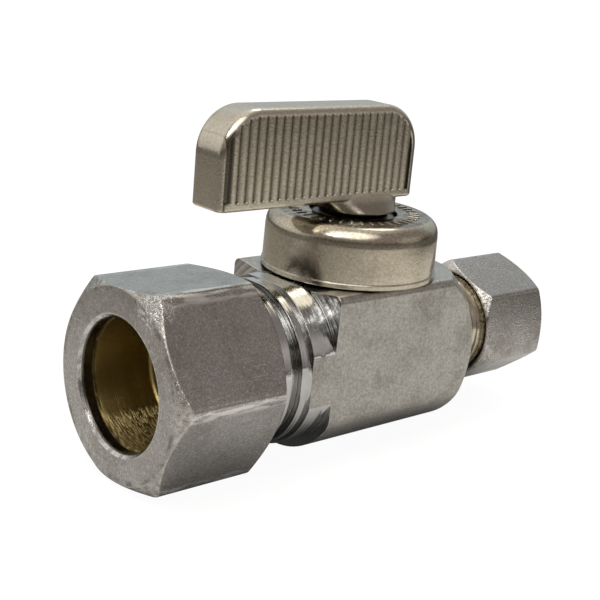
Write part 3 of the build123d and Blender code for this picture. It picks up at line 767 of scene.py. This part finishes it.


# A white sheet lies under the valve, plain white to the camera, with a painted shadow right under the valve.
# The metal mirrors it as a bright patch that fades to a dim table further out, with painted light to the
# front right and painted shade past the inlet end and, far out, past the outlet end.
floor_z = cad_low.z
sheet_reach = 4.0
sheet_end = (70 * mm, 105 * mm)
near_table_end = (108 * mm, 140 * mm)
table_end = (180 * mm, 280 * mm)
unlit_start = (-36 * mm, -46 * mm)
shadow_reach = 14 * mm
seen_white_share = 0.88
mirrored_white_share = 0.05
white_strength = 1.09
lit_direction = (0.6, -0.8, 0)
sheet_colour = (0.76, 0.755, 0.74, 1)
sheet_unlit_colour = (0.6, 0.59, 0.57, 1)
sheet_seen_colour = (0.78, 0.775, 0.765, 1)
sheet_shadow_colour = (0.03, 0.028, 0.025, 1)
table_colours = (0.34, 0.325, 0.3, 1), (0.98, 0.97, 0.94, 1)
far_table_colours = (0.27, 0.26, 0.24, 1), (0.62, 0.6, 0.56, 1)
shaded_table_colour = (0.07, 0.065, 0.055, 1)
room_floor_colour = (0.1, 0.09, 0.075, 1)
sheet_corners = [(x * sheet_reach, y * sheet_reach, floor_z) for x, y in ((-1, -1), (1, -1), (1, 1), (-1, 1))]
floor_mesh = bpy.data.meshes.new("floor")
floor_mesh.from_pydata(sheet_corners, [], [(0, 1, 2, 3)])
floor = bpy.data.objects.new("floor", floor_mesh)
bpy.context.scene.collection.objects.link(floor)
sheet = bpy.data.materials.new("white_sheet")
sheet.use_nodes = True
tree = sheet.node_tree
tree.nodes.clear()
centred = {0: object_point(tree), 1: (-stem_x, 0, -floor_z)}
place = put(tree, "ShaderNodeVectorMath", centred, operation="ADD").outputs["Vector"]
ahead = put(tree, "ShaderNodeSeparateXYZ", {"Vector": place}).outputs["X"]
away = vector_value(tree, "LENGTH", place)
# Painted light and shade on the sheet: lighter towards lit_direction, darker past the inlet end and, far out,
# past the outlet end.
side = vector_value(tree, "DOT_PRODUCT", place, lit_direction)
lit_side = ramp(tree, calc(tree, "DIVIDE", side, away), -0.55, 1.0)
shaded_side = ramp(tree, calc(tree, "DIVIDE", ahead, away), 0.45, 0.95)
unlit = product(tree, ramp(tree, ahead, *unlit_start), calc(tree, "SUBTRACT", 1.0, lit_side))
near = blend_colour(tree, unlit, sheet_colour, sheet_unlit_colour)
table = blend_colour(tree, lit_side, *table_colours)
far_table = blend_colour(tree, lit_side, *far_table_colours)
far_table = blend_colour(tree, shaded_side, far_table, shaded_table_colour)
paper = blend_colour(tree, ramp(tree, away, *sheet_end), near, table)
paper = blend_colour(tree, ramp(tree, away, *near_table_end), paper, far_table)
paper = blend_colour(tree, ramp(tree, away, *table_end), paper, room_floor_colour)
ray = put(tree, "ShaderNodeLightPath").outputs
paper = blend_colour(tree, ray["Is Camera Ray"], paper, sheet_seen_colour)
# Painted shadow: the sheet turns dark where the valve hides it from the sky.
under = put(tree, "ShaderNodeAmbientOcclusion", {"Distance": shadow_reach}, samples=8).outputs["AO"]
paper = blend_colour(tree, ramp(tree, under, 0.7, 0.22), paper, sheet_shadow_colour)
matte = put(tree, "ShaderNodeBsdfDiffuse", {"Color": paper}).outputs["BSDF"]
glowing = {"Color": (1, 1, 1, 1), "Strength": white_strength}
white = put(tree, "ShaderNodeEmission", glowing).outputs["Emission"]
seen_white = product(tree, ray["Is Camera Ray"], seen_white_share)
mirrored_white = product(tree, ray["Is Glossy Ray"], mirrored_white_share)
whiteness = calc(tree, "ADD", seen_white, mirrored_white)
mixed = put(tree, "ShaderNodeMixShader", {"Fac": whiteness, 1: matte, 2: white}).outputs["Shader"]
put(tree, "ShaderNodeOutputMaterial", {"Surface": mixed})
floor_mesh.materials.append(sheet)


# The room is plain: a large soft light overhead towards the viewer, two small lamps for the glints,
# cool walls behind, and a darker, warmer side where the viewer stands. Each light is a round patch of
# the sky, full inside its first angle and gone at its second, in degrees.
room_lights = (
    ((-0.36, -0.42, 0.83), 16, 30, (2.0, 1.95, 1.85, 1)),
    ((0.1, 0.3, 0.95), 10, 45, (0.5, 0.49, 0.47, 1)),
    ((0.5, 0.3, 0.81), 6, 10, (3.3, 3.3, 3.2, 1)),
    ((0.65, -0.72, 0.2), 8, 24, (0.2, 0.185, 0.18, 1)),
    ((0.65, -0.14, 0.75), 6, 10, (-0.26, -0.23, -0.21, 1)),
    ((-0.70, -0.25, 0.67), 5, 10, (6.5, 6.4, 6.0, 1)),
    ((0.66, 0.72, 0.15), 15, 60, (0.31, 0.37, 0.39, 1)),
    ((-0.66, 0.72, 0.3), 15, 50, (0.5, 0.5, 0.48, 1)),
)
wall_rise = (0.02, 0.35)
wall_foot_colour = (0.09, 0.075, 0.065, 1)
wall_colour = (0.27, 0.24, 0.22, 1)
room = bpy.data.worlds.new("room")
bpy.context.scene.world = room
room.use_nodes = True
tree = room.node_tree
tree.nodes.clear()
towards = put(tree, "ShaderNodeTexCoord").outputs["Generated"]
height = put(tree, "ShaderNodeSeparateXYZ", {"Vector": towards}).outputs["Z"]
glow = blend_colour(tree, ramp(tree, height, *wall_rise), wall_foot_colour, wall_colour)
for direction, inner, outer, colour in room_lights:
    facing = vector_value(tree, "DOT_PRODUCT", towards, Vector(direction).normalized())
    share = ramp(tree, facing, math.cos(math.radians(outer)), math.cos(math.radians(inner)))
    lit = blend_colour(tree, share, (0, 0, 0, 1), colour)
    glow = put(tree, "ShaderNodeVectorMath", {0: glow, 1: lit}, operation="ADD").outputs["Vector"]
around = put(tree, "ShaderNodeBackground", {"Color": glow, "Strength": 1.0}).outputs["Background"]
blank = put(tree, "ShaderNodeBackground", {"Color": (1, 1, 1, 1), "Strength": 1.0}).outputs["Background"]
seen = put(tree, "ShaderNodeLightPath").outputs["Is Camera Ray"]
mixed = put(tree, "ShaderNodeMixShader", {"Fac": seen, 1: around, 2: blank}).outputs["Shader"]
put(tree, "ShaderNodeOutputWorld", {"Surface": mixed})


# The camera stands low in front of the inlet nut, as a hand-held telephoto close-up,
# tipped a little to one side.
azimuth, elevation, roll = (math.radians(angle) for angle in (-42.604, 16.269, 5.248))
camera_place = Vector((-84.11, -112.19, 51.47)) * mm
level = math.cos(elevation)
back = Vector((math.sin(azimuth) * level, -math.cos(azimuth) * level, math.sin(elevation)))
level_right = Vector((0, 0, 1)).cross(back).normalized()
level_up = back.cross(level_right)
right = level_right * math.cos(roll) + level_up * math.sin(roll)
up = level_up * math.cos(roll) - level_right * math.sin(roll)
camera_data = bpy.data.cameras.new("camera")
camera_data.sensor_width = 36.0
camera_data.lens = 73.97
camera_data.clip_start = 0.005
camera_data.clip_end = 20.0
camera = bpy.data.objects.new("camera", camera_data)
camera.matrix_world = Matrix((
    (right.x, up.x, back.x, camera_place.x),
    (right.y, up.y, back.y, camera_place.y),
    (right.z, up.z, back.z, camera_place.z),
    (0, 0, 0, 1),
))
bpy.context.scene.collection.objects.link(camera)
bpy.context.scene.camera = camera
bpy.context.scene.view_settings.view_transform = "Standard"
